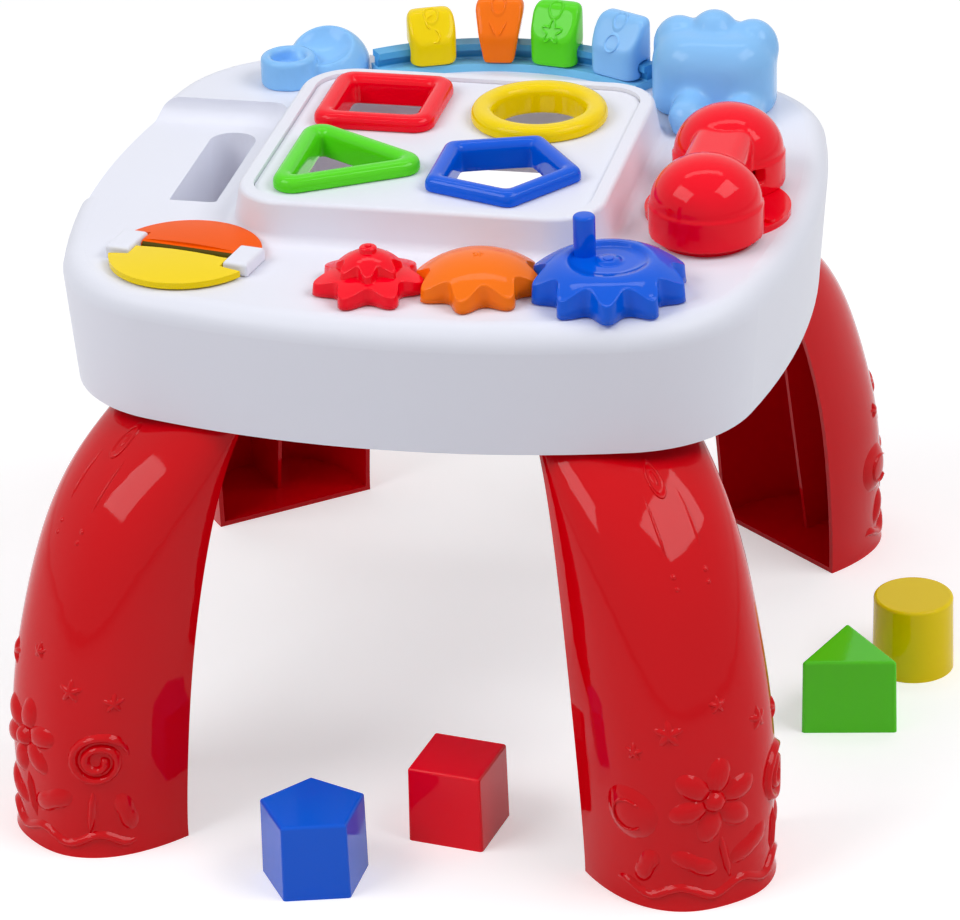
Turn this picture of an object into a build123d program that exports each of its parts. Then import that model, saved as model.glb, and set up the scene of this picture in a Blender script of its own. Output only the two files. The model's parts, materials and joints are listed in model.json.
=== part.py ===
from build123d import *
import math
import os

# Activity table for toddlers. Millimetres, floor at z = 0, X to the right of a child at the gear side.

# table top
SKIRT_BASE_Z = 243.0
DECK_Z = 320.0
SKIRT_BASE_HALF_X = 207.0
SKIRT_BASE_HALF_Y = 195.0
SKIRT_FLARE = 6.0
DECK_EDGE_RADIUS = 13.0
SHELL_WALL = 3.0
SIDE_RADIUS = 537.0
PLAN_CORNER = 78.0

# tower with the sorter lid
TOWER_X = -1.8
TOWER_Y = 5.0
TOWER_WIDTH = 211.0
TOWER_DEPTH = 201.0
TOWER_TOP_Z = 343.0
TOWER_CORNER = 30.0
TOWER_FLARE = 10.0
TOWER_COVE = 6.0
BOOK_CLEAR = 1.2
RIM_WIDTH = 8.0
RIM_ROUND = 3.0
LID_DROP = 2.5
LID_THICKNESS = 4.0
LEDGE_WIDTH = 5.0
LID_GAP = 0.5

# legs
LEG_X = 156.5
LEG_Y = 186.4
LEG_TURN = 50.8
LEG_CORNERS = (("front_left", -1, -1), ("front_right", 1, -1), ("back_left", -1, 1), ("back_right", 1, 1))
LEG_WALL = 3.0
LEG_MOUTH = 30.0
LEG_LIP = 5.0
LEG_FLOOR = 3.0
LEG_RIB = 2.5
LEG_RIB_FOOT = 26.0
LEG_RIB_HEAD = 4.0
LEG_RIB_TOP = 150.0
LEG_POWER = 2.4
LEG_POINTS = 9
LEG_HEIGHTS = (0.0, 60.0, 120.0, 180.0, 215.0, 243.0, 262.0)
LEG_WIDTHS = (106.0, 109.0, 110.0, 105.0, 99.0, 91.0, 84.0)
LEG_CHORDS = (0.0, -3.0, -11.0, -27.0, -42.0, -62.0, -80.0)
LEG_FACES = (70.6, 67.6, 57.0, 35.0, 8.0, -32.0, -50.0)
SOCKET_WALL = 3.0
SOCKET_WIDTH = 56.0
SOCKET_FLOOR = 6.0
SCREW_RADIUS = 2.0
SCREW_HEAD_RADIUS = 4.0
SCREW_HEAD = 3.0
SCREW_LENGTH = 16.0
SCREW_GAP = 0.05
LEG_HOLE_RADIUS = 2.3

# carrying handle at the left edge
HANDLE_Y = 24.0
HANDLE_LENGTH = 150.0
HANDLE_HOLE_X = -150.0
HANDLE_HOLE_WIDTH = 28.0
HANDLE_HOLE_LENGTH = 112.0
HANDLE_HOLE_ROUND = 13.0
SCOOP_INNER_X = -122.0
SCOOP_OUTER_X = -240.0
SCOOP_Z = 307.0
SCOOP_ROUND = 11.0

# flip book
BOOK_X = -123.5
BOOK_Y = -129.5
BOOK_TURN = -9.4
BOOK_WELL_RADIUS = 40.5
BOOK_WELL_DEPTH = 8.0
PAGE_RADIUS = 43.0
PAGE_EDGE = 3.5
PAGE_DOME = 3.0
PAGE_EDGE_SHARE = 0.54
PAGE_AXIS_SPREAD = 5.0
PAGE_AXIS_Z = 323.0
PAGE_BARREL_RADIUS = 3.4
PAGE_BARREL_HALF = 28.0
PAGE_NOTCH = 10.0
PAGE_GAP = 0.5
PIN_RADIUS = 1.5
PIN_GAP = 0.06
PIN_SEAT = 3.0
BRACKET_LENGTH = 9.0
BRACKET_HALF_DEPTH = 10.5
BRACKET_CAP_LENGTH = 15.0
BRACKET_CAP_HALF_DEPTH = 12.5
BRACKET_CAP_LIFT = 0.4
BRACKET_TOP_Z = 328.0
BRACKET_ROUND = 2.0

# gear train
GEAR_MODULE = 8.0
GEAR_PRESSURE = 25.0
GEAR_ADDENDUM = 3.6
GEAR_DEDENDUM = 5.5
GEAR_BACKLASH = 1.0
GEAR_TIP_ROUND = 2.4
GEAR_LIFT = 0.6
RED_TEETH = 7
ORANGE_TEETH = 8
BLUE_TEETH = 10
BLUE_X = 119.0
GEAR_ROW_OFFSET = 42.5
BLUE_Y = TOWER_Y - TOWER_DEPTH / 2 - GEAR_ROW_OFFSET
ORANGE_BEARING = 184.0
RED_BEARING = 189.5
BLUE_PHASE = -8.0
RED_RIM_SHARE = 0.68
RED_HEIGHT = 13.0
RED_CAP_RADIUS = 18.5
RED_CAP_HEIGHT = 23.0
RED_CAP_RIM_SHARE = 0.5
RED_LOBE_RADIUS = 5.0
ORANGE_RIM_SHARE = 0.42
ORANGE_HEIGHT = 19.0
BLUE_RIM = 10.0
BLUE_RIM_SHARE = 0.34
BLUE_HEIGHT = 20.0
BLUE_DISH_RADIUS = 22.0
BLUE_DISH_DEPTH = 1.5
BLUE_HUB_RADIUS = 6.0
CRANK_X = -14.8
CRANK_Y = 7.2
CRANK_RADIUS = 6.2
CRANK_TOP = 42.0
CRANK_ROUND = 1.5
AXLE_RADIUS = 4.0
AXLE_GAP = 0.08
AXLE_REACH = 10.0
AXLE_FLANGE_RADIUS = 8.0
AXLE_FLANGE = 3.0
AXLE_END_GAP = 0.8

# toy telephone
PHONE_X = 158.5
PHONE_Y = -20.0
PHONE_DISC_RADIUS = 41.5
PHONE_DISC = 4.0
PHONE_PAD_RADIUS = 27.0
PHONE_PAD = 6.0
PHONE_NUB_RADIUS = 3.0
PHONE_NUB = 2.0
PHONE_NUB_X = 33.0
PHONE_NUB_Y = -18.5
CUP_SPREAD = 36.8
CUP_RADIUS = 32.5
CUP_HEIGHT = 18.0
CUP_DOME = 27.0
CUP_WALL = 3.0
CUP_PLATE = 2.5
CUP_STEP = 1.0
PLATE_SEAT = 6.0
PLATE_LEDGE = 2.0
PLATE_GAP = 0.3
BAR_WIDTH = 36.0
BAR_TOP = 38.0
BAR_BOTTOM = 17.0
BAR_ROUND = 9.0
WINDOW_WIDTH = 52.0
WINDOW_FACE = 21.0

# slider rail along the back
RAIL_X = 5.0
RAIL_CREST_Y = 179.0
RAIL_RADIUS = 143.0
RAIL_Y = RAIL_CREST_Y - RAIL_RADIUS
RAIL_FOOT_FRONT = 12.0
RAIL_FOOT_BACK = 8.0
RAIL_INNER = RAIL_RADIUS - RAIL_FOOT_FRONT
RAIL_OUTER = RAIL_RADIUS + RAIL_FOOT_BACK
RAIL_BASE = 5.0
RAIL_STEM = 5.0
RAIL_HEAD = 10.0
RAIL_STEM_TOP = 11.0
RAIL_HEAD_TOP = 15.0
RAIL_LEFT_REACH = 86.0595
RAIL_RIGHT_REACH = 82.0214
RAIL_START = -math.degrees(math.asin(RAIL_LEFT_REACH / RAIL_RADIUS))
RAIL_END = math.degrees(math.asin(RAIL_RIGHT_REACH / RAIL_RADIUS))
SLIDER_GAP = 0.5
SLIDER_LIFT = 0.5
SLIDER_FRONT = 15.0
SLIDER_BACK = 10.0
SLIDER_ROUND = 5.0
SLIDER_CORNER = 8.0
SLIDER_CREST = 1.0
SLIDER_KNEE_SHARE = 0.48
YELLOW_PLACE_SHARE = 0.621622
YELLOW_BEARING = RAIL_START * YELLOW_PLACE_SHARE
YELLOW_WIDTH = 29.0
YELLOW_TALL = 37.0
ORANGE_PLACE_SHARE = 0.162162
ORANGE_SLIDER_BEARING = RAIL_START * ORANGE_PLACE_SHARE
ORANGE_WIDTH = 32.0
ORANGE_FOOT = 18.0
ORANGE_TALL = 42.0
GREEN_PLACE_SHARE = 0.242857
GREEN_BEARING = RAIL_END * GREEN_PLACE_SHARE
GREEN_WIDTH = 30.0
GREEN_TALL = 42.0
SKY_PLACE_SHARE = 0.757143
SKY_BEARING = RAIL_END * SKY_PLACE_SHARE
SKY_WIDTH = 34.0
SKY_TALL = 42.0

# end stops of the rail
SCOOP_STOP_X = -112.0
SCOOP_STOP_Y = 154.0
SCOOP_STOP_RADIUS = 25.0
SCOOP_STOP_HEIGHT = 27.0
SCOOP_DISH_RADIUS = 26.0
SCOOP_DISH_FORWARD = 15.0
SCOOP_DISH_LIFT = 37.0
SCOOP_LOBE_X = -131.0
SCOOP_LOBE_Y = 132.0
SCOOP_LOBE_RADIUS = 17.0
SCOOP_LOBE_HEIGHT = 18.0
SCOOP_LOBE_BORE = 10.0
SCOOP_LOBE_DEEP = 9.0
SCOOP_LOBE_ROUND = 3.0
SCOOP_RIM_SHARE = 0.3
ANIMAL_X = 129.0
ANIMAL_Y = 136.0
ANIMAL_WIDTH = 70.0
ANIMAL_DEPTH = 58.0
ANIMAL_CORNER = 26.0
ANIMAL_HEIGHT = 39.0
ANIMAL_ROUND = 17.0
EAR_RADIUS = 15.0
EAR_XS = (108.0, 128.0, 150.0)
EAR_LIFTS = (28.0, 32.0, 28.0)
EAR_Y = 142.0
PAW_RADIUS = 11.0
PAW_XS = (121.0, 150.0)
PAW_YS = (92.0, 104.0)
PAW_LIFTS = (6.0, 4.0)
PAW_LENGTH = 26.0
STOP_REACH = 160.0
STOP_GAP = 0.3

# sorter holes and their blocks
COLLAR_TOP = 9.0
COLLAR_ROUND = 5.2
COLLAR_DEPTH = 8.5
COLLAR_WALL = 3.0
COLLAR_GAP = 0.4
SQUARE_X = -52.0
SQUARE_Y = 52.0
SQUARE_HOLE = 48.0
SQUARE_OUTER = 72.0
SQUARE_CORNER = 12.0
SQUARE_HOLE_CORNER = 3.0
ROUND_X = 41.0
ROUND_Y = 51.0
ROUND_HOLE_RADIUS = 26.5
ROUND_OUTER_RADIUS = 40.0
TRIANGLE_X = -58.0
TRIANGLE_Y = -36.0
TRIANGLE_HOLE_RADIUS = 37.0
TRIANGLE_OUTER_RADIUS = 60.0
TRIANGLE_CORNER = 12.0
PENTAGON_X = 37.0
PENTAGON_Y = -36.0
PENTAGON_HOLE_RADIUS = 34.5
PENTAGON_OUTER_RADIUS = 48.0
PENTAGON_CORNER = 7.0
HOLE_CORNER = 2.0
BLOCK_HEIGHT = 47.0
BLOCK_WALL = 2.0
BLOCK_ROUND = 2.0
BLOCK_DRAFT = 0.8
CUBE_SIDE = 45.0
CUBE_X = 35.3
CUBE_Y = -184.8
CUBE_TURN = -8.4
PENTAGON_RADIUS = 31.7
PENTAGON_BLOCK_X = -32.7
PENTAGON_BLOCK_Y = -250.4
PENTAGON_BLOCK_TURN = 15.6
TRIANGLE_RADIUS = 33.9
TRIANGLE_BLOCK_X = 235.0
TRIANGLE_BLOCK_Y = -25.4
TRIANGLE_BLOCK_TURN = 10.0
CYLINDER_RADIUS = 24.5
CYLINDER_X = 263.0
CYLINDER_Y = 47.0

nodes = {}


def plan_sketch(half_x, half_y, inset):
    wide = Pos(half_x - SIDE_RADIUS, 0) * Circle(SIDE_RADIUS - inset)
    wide = wide & Pos(SIDE_RADIUS - half_x, 0) * Circle(SIDE_RADIUS - inset)
    deep = Pos(0, half_y - SIDE_RADIUS) * Circle(SIDE_RADIUS - inset)
    deep = deep & Pos(0, SIDE_RADIUS - half_y) * Circle(SIDE_RADIUS - inset)
    plan = wide & deep
    return fillet(plan.vertices(), PLAN_CORNER - inset)


def plan_solid(inset, base_z, top_z, edge_radius):
    lean = math.degrees(math.atan2(SKIRT_FLARE, DECK_Z - SKIRT_BASE_Z))
    plan = plan_sketch(SKIRT_BASE_HALF_X, SKIRT_BASE_HALF_Y, inset)
    body = extrude(Pos(0, 0, base_z) * plan, amount=top_z - base_z, taper=-lean)
    return fillet(body.faces().sort_by(Axis.Z)[-1].edges(), edge_radius)


def upright(sketch, base_z, top_z):
    return extrude(Pos(0, 0, base_z) * sketch, amount=top_z - base_z, dir=(0, 0, 1))


def d_points(width, chord, face):
    points = []
    for index in range(LEG_POINTS):
        angle = math.pi * index / (LEG_POINTS - 1)
        along = math.copysign(abs(math.cos(angle)) ** (2 / LEG_POWER), math.cos(angle))
        out = abs(math.sin(angle)) ** (2 / LEG_POWER)
        points.append((chord + (face - chord) * out, width / 2 * along))
    return points


def d_face(width, chord, face, height):
    points = [(x, y, height) for x, y in d_points(width, chord, face)]
    return Face(Wire([Spline(points), Line(points[-1], points[0])]))


def channel_face(width, chord, face, height):
    points = [(x, y, height) for x, y in d_points(width, chord + LEG_LIP, face)]
    back_left = (chord - LEG_MOUTH, width / 2, height)
    back_right = (chord - LEG_MOUTH, -width / 2, height)
    left_side = Line(back_left, points[0])
    right_side = Line(points[-1], back_right)
    return Face(Wire([left_side, Spline(points), right_side, Line(back_right, back_left)]))


def leg_places():
    places = {}
    lean = math.radians(LEG_TURN)
    for name, side, end in LEG_CORNERS:
        turn = math.degrees(math.atan2(end * math.sin(lean), side * math.cos(lean)))
        places[name] = Pos(side * LEG_X, end * LEG_Y, 0) * Rot(0, 0, turn)
    return places


def leg_body():
    outer = []
    inner = []
    for height, width, chord, face in zip(LEG_HEIGHTS, LEG_WIDTHS, LEG_CHORDS, LEG_FACES):
        outer.append(d_face(width, chord, face, height))
        if height < LEG_HEIGHTS[-1]:
            inner.append(channel_face(width - 2 * LEG_WALL, chord, face - LEG_WALL, max(height, LEG_FLOOR)))
    top = LEG_HEIGHTS[-1] - LEG_WALL
    inner.append(channel_face(LEG_WIDTHS[-1] - 2 * LEG_WALL, LEG_CHORDS[-1], LEG_FACES[-1] - LEG_WALL, top))
    whole = loft(outer)
    corners = [(LEG_RIB_FOOT, 0), (LEG_FACES[0], 0), (LEG_FACES[0], LEG_RIB_TOP), (LEG_RIB_HEAD, LEG_RIB_TOP)]
    rib = extrude(Plane.XZ * make_face(Polyline(corners, close=True)), amount=LEG_RIB / 2, both=True)
    body = whole - loft(inner) + (rib & whole)
    screw_x = (LEG_CHORDS[-1] + LEG_FACES[-1]) / 2
    hole = Pos(screw_x, 0, 0) * upright(Circle(LEG_HOLE_RADIUS), LEG_HEIGHTS[-2], LEG_HEIGHTS[-1] + LEG_WALL)
    return body - hole


leg = leg_body()
places = leg_places()
for name, place in places.items():
    nodes["leg_" + name] = place * leg

socket_x = (LEG_CHORDS[-1] + LEG_FACES[-1]) / 2
socket_z = LEG_HEIGHTS[-1]
deck_under = DECK_Z - SHELL_WALL


def socket_body():
    depth = LEG_FACES[-1] - LEG_CHORDS[-1]
    outer = Rectangle(depth, SOCKET_WIDTH)
    inner = Rectangle(depth - 2 * SOCKET_WALL, SOCKET_WIDTH - 2 * SOCKET_WALL)
    floor_top = socket_z + SOCKET_FLOOR
    ring = upright(outer, socket_z, deck_under) - upright(inner, floor_top, deck_under)
    pilot = upright(Circle(SCREW_RADIUS + SCREW_GAP), socket_z, floor_top)
    return Pos(socket_x, 0, 0) * (ring - pilot)


def leg_screw():
    seat = socket_z - LEG_WALL
    head = Pos(socket_x, 0, 0) * upright(Circle(SCREW_HEAD_RADIUS), seat - SCREW_HEAD, seat)
    shank = Pos(socket_x, 0, 0) * upright(Circle(SCREW_RADIUS), seat, seat + SCREW_LENGTH)
    return head + shank


screw = leg_screw()
nodes["leg_screws"] = [place * screw for place in places.values()]

# table top shell: deck, skirt, tower, handle, book well
tower_place = Pos(TOWER_X, TOWER_Y, 0)
tower_foot = RectangleRounded(TOWER_WIDTH + TOWER_FLARE, TOWER_DEPTH + TOWER_FLARE, TOWER_CORNER + TOWER_FLARE / 2)


def tower_solid(base_z, top_z):
    lean = math.degrees(math.atan2(TOWER_FLARE / 2, top_z - base_z))
    return tower_place * extrude(Pos(0, 0, base_z) * tower_foot, amount=top_z - base_z, taper=lean)


def handle_hole(grow):
    plan = RectangleRounded(
        HANDLE_HOLE_WIDTH + 2 * grow, HANDLE_HOLE_LENGTH + 2 * grow, HANDLE_HOLE_ROUND + grow
    )
    return Pos(HANDLE_HOLE_X, HANDLE_Y, 0) * upright(plan, 0, DECK_Z + DECK_EDGE_RADIUS)


def handle_scoop(grow):
    length = SCOOP_INNER_X - SCOOP_OUTER_X + grow
    height = 2 * (DECK_Z - SCOOP_Z + grow)
    box = Box(length, HANDLE_LENGTH + 2 * grow, height)
    box = fillet(box.edges(), SCOOP_ROUND)
    return Pos(SCOOP_OUTER_X + length / 2, HANDLE_Y, DECK_Z) * box


def book_well(grow):
    plan = Circle(BOOK_WELL_RADIUS + grow)
    return Pos(BOOK_X, BOOK_Y, 0) * upright(plan, DECK_Z - BOOK_WELL_DEPTH - grow, DECK_Z + BOOK_WELL_DEPTH)


lid_width = TOWER_WIDTH - 2 * RIM_WIDTH
lid_depth = TOWER_DEPTH - 2 * RIM_WIDTH
lid_top = TOWER_TOP_Z - LID_DROP
lid_seat = lid_top - LID_THICKNESS
lid_corner = TOWER_CORNER - RIM_WIDTH


def tabletop():
    outer = plan_solid(0, SKIRT_BASE_Z, DECK_Z, DECK_EDGE_RADIUS)
    tower = tower_solid(deck_under, TOWER_TOP_Z)
    body = outer + tower
    rim_edges = body.faces().sort_by(Axis.Z)[-1].edges()
    body = fillet(rim_edges, RIM_ROUND)
    reach = TOWER_DEPTH / 2 + TOWER_FLARE
    foot_edges = [edge for edge in body.edges() if abs(edge.bounding_box().min.Z - DECK_Z) < SHELL_WALL / 2]
    foot_edges = [edge for edge in foot_edges if abs(edge.center().Y - TOWER_Y) < reach]
    foot_edges = [edge for edge in foot_edges if abs(edge.center().X) < reach + TOWER_FLARE]
    body = fillet(foot_edges, TOWER_COVE)
    clear = upright(Circle(PAGE_RADIUS + BOOK_CLEAR), DECK_Z, TOWER_TOP_Z)
    body = body - Pos(BOOK_X, BOOK_Y, 0) * clear
    cavity = plan_solid(SHELL_WALL, SKIRT_BASE_Z - SHELL_WALL, deck_under, DECK_EDGE_RADIUS - SHELL_WALL)
    cavity = cavity - handle_hole(SHELL_WALL) - handle_scoop(SHELL_WALL) - book_well(SHELL_WALL)
    body = body - cavity
    for place in places.values():
        body = body + place * socket_body()
    body = body - handle_hole(0) - handle_scoop(0) - book_well(0)
    pocket = RectangleRounded(lid_width, lid_depth, lid_corner)
    body = body - tower_place * upright(pocket, lid_seat, TOWER_TOP_Z + RIM_ROUND)
    throat = RectangleRounded(lid_width - 2 * LEDGE_WIDTH, lid_depth - 2 * LEDGE_WIDTH, lid_corner - LEDGE_WIDTH)
    body = body - tower_place * upright(throat, SKIRT_BASE_Z, TOWER_TOP_Z)
    return body


shell = tabletop()
nodes["tabletop_shell"] = shell


def ring_sector(inner, outer, start, end, base_z, top_z):
    centre = (RAIL_X, RAIL_Y)
    low = 90 - end
    sweep = end - start
    far = CenterArc(centre, outer, low, sweep)
    near = CenterArc(centre, inner, low, sweep)
    sides = [Line(far @ 0, near @ 0), Line(far @ 1, near @ 1)]
    return upright(make_face([far, near] + sides), base_z, top_z)


def dome(radius, height, share_rim):
    rim = height * share_rim
    rise = height - rim
    ball = (radius * radius + rise * rise) / (2 * rise)
    half_turn = math.asin(radius / ball) / 2
    middle = (ball * math.sin(half_turn), rim + rise - ball * (1 - math.cos(half_turn)))
    edges = [Line((0, 0), (radius, 0)), Line((radius, 0), (radius, rim))]
    edges.append(ThreePointArc((radius, rim), middle, (0, height)))
    edges.append(Line((0, height), (0, 0)))
    return revolve(Plane.XZ * make_face(edges), Axis.Z)


# sorter lid and collars
def regular(count, radius, corner):
    return fillet(RegularPolygon(radius, count).vertices(), corner)


collar_plans = {
    "square": (
        Pos(SQUARE_X, SQUARE_Y),
        RectangleRounded(SQUARE_OUTER, SQUARE_OUTER, SQUARE_CORNER),
        RectangleRounded(SQUARE_HOLE, SQUARE_HOLE, SQUARE_HOLE_CORNER),
    ),
    "round": (Pos(ROUND_X, ROUND_Y), Circle(ROUND_OUTER_RADIUS), Circle(ROUND_HOLE_RADIUS)),
    "triangle": (
        Pos(TRIANGLE_X, TRIANGLE_Y),
        regular(3, TRIANGLE_OUTER_RADIUS, TRIANGLE_CORNER),
        regular(3, TRIANGLE_HOLE_RADIUS, HOLE_CORNER),
    ),
    "pentagon": (
        Pos(PENTAGON_X, PENTAGON_Y),
        regular(5, PENTAGON_OUTER_RADIUS, PENTAGON_CORNER),
        regular(5, PENTAGON_HOLE_RADIUS, HOLE_CORNER),
    ),
}
lid_plan = RectangleRounded(lid_width - 2 * LID_GAP, lid_depth - 2 * LID_GAP, lid_corner - LID_GAP)
lid = tower_place * upright(lid_plan, lid_seat, lid_top)
for name, (place, outline, hole) in collar_plans.items():
    flange = upright(outline, lid_top, lid_top + COLLAR_TOP) - upright(hole, lid_top, lid_top + COLLAR_TOP)
    flange = fillet(flange.faces().sort_by(Axis.Z)[-1].edges(), COLLAR_ROUND)
    sleeve = upright(offset(hole, COLLAR_WALL), lid_top - COLLAR_DEPTH, lid_top)
    sleeve = sleeve - upright(hole, lid_top - COLLAR_DEPTH, lid_top)
    nodes["collar_" + name] = place * (flange + sleeve)
    lid = lid - place * upright(offset(hole, COLLAR_WALL + COLLAR_GAP), lid_seat, lid_top)
nodes["sorter_lid"] = lid


# gear train
def gear_plan(teeth, phase):
    pitch = GEAR_MODULE * teeth / 2
    base = pitch * math.cos(math.radians(GEAR_PRESSURE))
    tip = pitch + GEAR_ADDENDUM
    root = pitch - GEAR_DEDENDUM
    pressure = math.radians(GEAR_PRESSURE)
    half_pitch = (math.pi * GEAR_MODULE / 2 - GEAR_BACKLASH) / (2 * pitch) + math.tan(pressure) - pressure

    def flank(radius, tooth, side):
        roll = math.acos(min(1, base / radius))
        angle = tooth + side * (half_pitch - math.tan(roll) + roll)
        return (radius * math.cos(angle), radius * math.sin(angle))

    edges = []
    step = 2 * math.pi / teeth
    for index in range(teeth):
        tooth = math.radians(phase) + index * step
        low = max(root, base)
        start = flank(root, tooth, -1)
        rise = ThreePointArc(flank(low, tooth, -1), flank((low + tip) / 2, tooth, -1), flank(tip, tooth, -1))
        top = ThreePointArc(rise @ 1, (tip * math.cos(tooth), tip * math.sin(tooth)), flank(tip, tooth, 1))
        fall = ThreePointArc(top @ 1, flank((low + tip) / 2, tooth, 1), flank(low, tooth, 1))
        gap = tooth + step / 2
        if base > root:
            edges.append(Line(start, rise @ 0))
            edges.append(Line(fall @ 1, flank(root, tooth, 1)))
        edges.extend([rise, top, fall])
        bottom = (root * math.cos(gap), root * math.sin(gap))
        edges.append(ThreePointArc(flank(root, tooth, 1), bottom, flank(root, tooth + step, -1)))
    plan = make_face(edges)
    tips = [corner for corner in plan.vertices() if math.hypot(corner.X, corner.Y) > tip - GEAR_TIP_ROUND / 2]
    return fillet(tips, GEAR_TIP_ROUND)


def gear_body(teeth, phase, height, share_rim):
    tip = GEAR_MODULE * teeth / 2 + GEAR_ADDENDUM
    body = upright(gear_plan(teeth, phase), 0, height) & dome(tip + GEAR_LIFT, height, share_rim)
    return body


def meshed_phase(teeth, phase, next_teeth, bearing):
    share = (bearing - phase) / (360 / teeth)
    return bearing - 180 - (0.5 - share) * 360 / next_teeth


def beside(x, y, teeth, next_teeth, bearing):
    reach = GEAR_MODULE * (teeth + next_teeth) / 2
    return (x + reach * math.cos(math.radians(bearing)), y + reach * math.sin(math.radians(bearing)))


orange_x, orange_y = beside(BLUE_X, BLUE_Y, BLUE_TEETH, ORANGE_TEETH, ORANGE_BEARING)
red_x, red_y = beside(orange_x, orange_y, ORANGE_TEETH, RED_TEETH, RED_BEARING)
orange_phase = meshed_phase(BLUE_TEETH, BLUE_PHASE, ORANGE_TEETH, ORANGE_BEARING)
red_phase = meshed_phase(ORANGE_TEETH, orange_phase, RED_TEETH, RED_BEARING)
gear_z = DECK_Z + GEAR_LIFT

blue = gear_body(BLUE_TEETH, BLUE_PHASE, BLUE_HEIGHT + BLUE_RIM, BLUE_RIM_SHARE)
blue = blue - upright(Circle(GEAR_MODULE * BLUE_TEETH), BLUE_HEIGHT, BLUE_HEIGHT + BLUE_RIM)
blue = blue - upright(Circle(BLUE_DISH_RADIUS) - Circle(BLUE_HUB_RADIUS), BLUE_HEIGHT - BLUE_DISH_DEPTH, BLUE_HEIGHT)
crank = upright(Circle(CRANK_RADIUS), BLUE_RIM, CRANK_TOP)
crank = fillet(crank.faces().sort_by(Axis.Z)[-1].edges(), CRANK_ROUND)
blue = blue + Pos(CRANK_X, CRANK_Y, 0) * crank
orange = gear_body(ORANGE_TEETH, orange_phase, ORANGE_HEIGHT, ORANGE_RIM_SHARE)
red = gear_body(RED_TEETH, red_phase, RED_HEIGHT, RED_RIM_SHARE)
lobes = Circle(RED_CAP_RADIUS - RED_LOBE_RADIUS / 2)
for spot in PolarLocations(RED_CAP_RADIUS - RED_LOBE_RADIUS, RED_TEETH, start_angle=red_phase):
    lobes = lobes + spot * Circle(RED_LOBE_RADIUS)
red = red + (upright(lobes, 0, RED_CAP_HEIGHT) & dome(RED_CAP_RADIUS + GEAR_LIFT, RED_CAP_HEIGHT, RED_CAP_RIM_SHARE))
bore = upright(Circle(AXLE_RADIUS + AXLE_GAP), 0, AXLE_REACH)
gear_spots = {
    "gear_large_blue": (Pos(BLUE_X, BLUE_Y, gear_z), blue),
    "gear_medium_orange": (Pos(orange_x, orange_y, gear_z), orange),
    "gear_small_red": (Pos(red_x, red_y, gear_z), red),
}
axle = upright(Circle(AXLE_RADIUS), deck_under - AXLE_FLANGE, gear_z + AXLE_REACH - AXLE_END_GAP)
axle = axle + upright(Circle(AXLE_FLANGE_RADIUS), deck_under - AXLE_FLANGE, deck_under)
axles = []
for name, (place, body) in gear_spots.items():
    nodes[name] = place * (body - bore)
    foot = Pos(place.position.X, place.position.Y, 0)
    axles.append(foot * axle)
    shell = shell - foot * upright(Circle(AXLE_RADIUS + AXLE_GAP), deck_under, DECK_Z)
nodes["gear_axles"] = axles

# flip book
book_place = Pos(BOOK_X, BOOK_Y, 0) * Rot(0, 0, BOOK_TURN)
well_floor = DECK_Z - BOOK_WELL_DEPTH


def page(side):
    axis_y = side * PAGE_AXIS_SPREAD
    plate = Pos(0, 0, PAGE_AXIS_Z - PAGE_EDGE / 2) * dome(PAGE_RADIUS, PAGE_EDGE + PAGE_DOME, PAGE_EDGE_SHARE)
    keep = Pos(0, axis_y + side * PAGE_RADIUS, PAGE_AXIS_Z) * Box(2 * PAGE_RADIUS, 2 * PAGE_RADIUS, PAGE_RADIUS)
    plate = plate & keep
    reach = PAGE_RADIUS - PAGE_BARREL_HALF
    for end in (-1, 1):
        notch_x = end * (PAGE_BARREL_HALF + reach / 2)
        plate = plate - Pos(notch_x, axis_y, PAGE_AXIS_Z) * Box(reach, 2 * PAGE_NOTCH, PAGE_RADIUS)
    barrel = Pos(0, axis_y, PAGE_AXIS_Z) * Rot(0, 90, 0) * Cylinder(PAGE_BARREL_RADIUS, 2 * PAGE_BARREL_HALF)
    hole = Pos(0, axis_y, PAGE_AXIS_Z) * Rot(0, 90, 0) * Cylinder(PIN_RADIUS + PIN_GAP, 2 * PAGE_RADIUS)
    return plate + barrel - hole


nodes["page_orange"] = book_place * page(1)
nodes["page_yellow"] = book_place * page(-1)
pin_half = PAGE_BARREL_HALF + PAGE_GAP + PIN_SEAT
pins = []
for side in (-1, 1):
    pin = Pos(0, side * PAGE_AXIS_SPREAD, PAGE_AXIS_Z) * Rot(0, 90, 0) * Cylinder(PIN_RADIUS, 2 * pin_half)
    pins.append(book_place * pin)
nodes["page_hinge_pins"] = pins
for end, name in ((-1, "left"), (1, "right")):
    near_x = PAGE_BARREL_HALF + PAGE_GAP
    foot = Rectangle(BRACKET_LENGTH, 2 * BRACKET_HALF_DEPTH)
    cap = Rectangle(BRACKET_CAP_LENGTH, 2 * BRACKET_CAP_HALF_DEPTH)
    top = upright(cap, DECK_Z + BRACKET_CAP_LIFT, BRACKET_TOP_Z)
    top = fillet(top.faces().sort_by(Axis.Z)[-1].edges(), BRACKET_ROUND)
    block = Pos(end * (near_x + BRACKET_LENGTH / 2), 0, 0) * upright(foot, well_floor, BRACKET_TOP_Z - BRACKET_ROUND)
    block = block + Pos(end * (near_x + BRACKET_CAP_LENGTH / 2), 0, 0) * top
    for side in (-1, 1):
        seat = Pos(0, side * PAGE_AXIS_SPREAD, PAGE_AXIS_Z) * Rot(0, 90, 0)
        block = block - seat * Cylinder(PIN_RADIUS + PIN_GAP, 2 * pin_half)
    nodes["page_bracket_" + name] = book_place * block

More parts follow.
